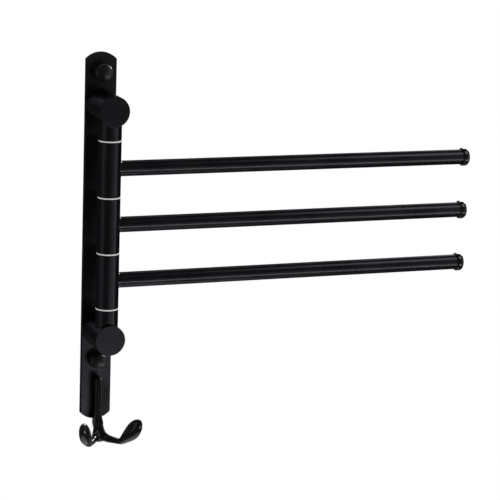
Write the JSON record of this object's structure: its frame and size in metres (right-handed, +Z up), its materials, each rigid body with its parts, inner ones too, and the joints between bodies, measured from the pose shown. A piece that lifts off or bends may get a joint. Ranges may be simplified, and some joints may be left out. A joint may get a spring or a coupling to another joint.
{
  "type": "swivel towel bar",
  "caption": "Wall-mounted swivel towel bar: round arms turn on an upright column between two posts, with a double robe hook below.",
  "frame": {"origin": "midway between the two wall holes, on the plate's back face, which lies on the wall", "axes": "+X along the arms in the rest pose, +Y into the wall, +Z up"},
  "size_m": [0.3803, 0.0577, 0.3565],
  "materials": {
    "satin_black": "satin black coating",
    "gloss_black": "glossy black coating",
    "steel": "bright steel",
    "white_nylon": "smooth white"
  },
  "bodies": {
    "wall_mount": {"back_plate": "satin_black", "upper_post": "satin_black", "lower_post": "satin_black", "upper_collar": "satin_black", "lower_collar": "satin_black", "pivot_shaft": "steel", "shaft_screw": "steel", "post_screws": "steel", "hook_screw": "steel", "upper_screw_cap": "gloss_black", "lower_screw_cap": "gloss_black", "upper_cap_base": "white_nylon", "lower_cap_base": "white_nylon", "robe_hook": "gloss_black", "spacer_washer_1": "white_nylon", "spacer_washer_2": "white_nylon", "spacer_washer_3": "white_nylon", "spacer_washer_4": "white_nylon"},
    "top_arm": {"top_sleeve": "satin_black", "top_upper_bush": "white_nylon", "top_lower_bush": "white_nylon", "top_arm_stud": "steel", "top_root_plug": "gloss_black", "top_arm_tube": "satin_black", "top_end_cap": "gloss_black"},
    "middle_arm": {"middle_sleeve": "satin_black", "middle_upper_bush": "white_nylon", "middle_lower_bush": "white_nylon", "middle_arm_stud": "steel", "middle_root_plug": "gloss_black", "middle_arm_tube": "satin_black", "middle_end_cap": "gloss_black"},
    "bottom_arm": {"bottom_sleeve": "satin_black", "bottom_upper_bush": "white_nylon", "bottom_lower_bush": "white_nylon", "bottom_arm_stud": "steel", "bottom_root_plug": "gloss_black", "bottom_arm_tube": "satin_black", "bottom_end_cap": "gloss_black"}
  },
  "joints": [
    {"name": "top_arm_swing", "type": "hinge", "parent": "wall_mount", "child": "top_arm", "pos_m": [0, -0.0338, 0.0506], "axis": [0, 0, 1], "range_deg": [-180, 0]},
    {"name": "middle_arm_swing", "type": "hinge", "parent": "wall_mount", "child": "middle_arm", "pos_m": [0, -0.0338, 0], "axis": [0, 0, 1], "range_deg": [-180, 0]},
    {"name": "bottom_arm_swing", "type": "hinge", "parent": "wall_mount", "child": "bottom_arm", "pos_m": [0, -0.0338, -0.0506], "axis": [0, 0, 1], "range_deg": [-180, 0]}
  ]
}
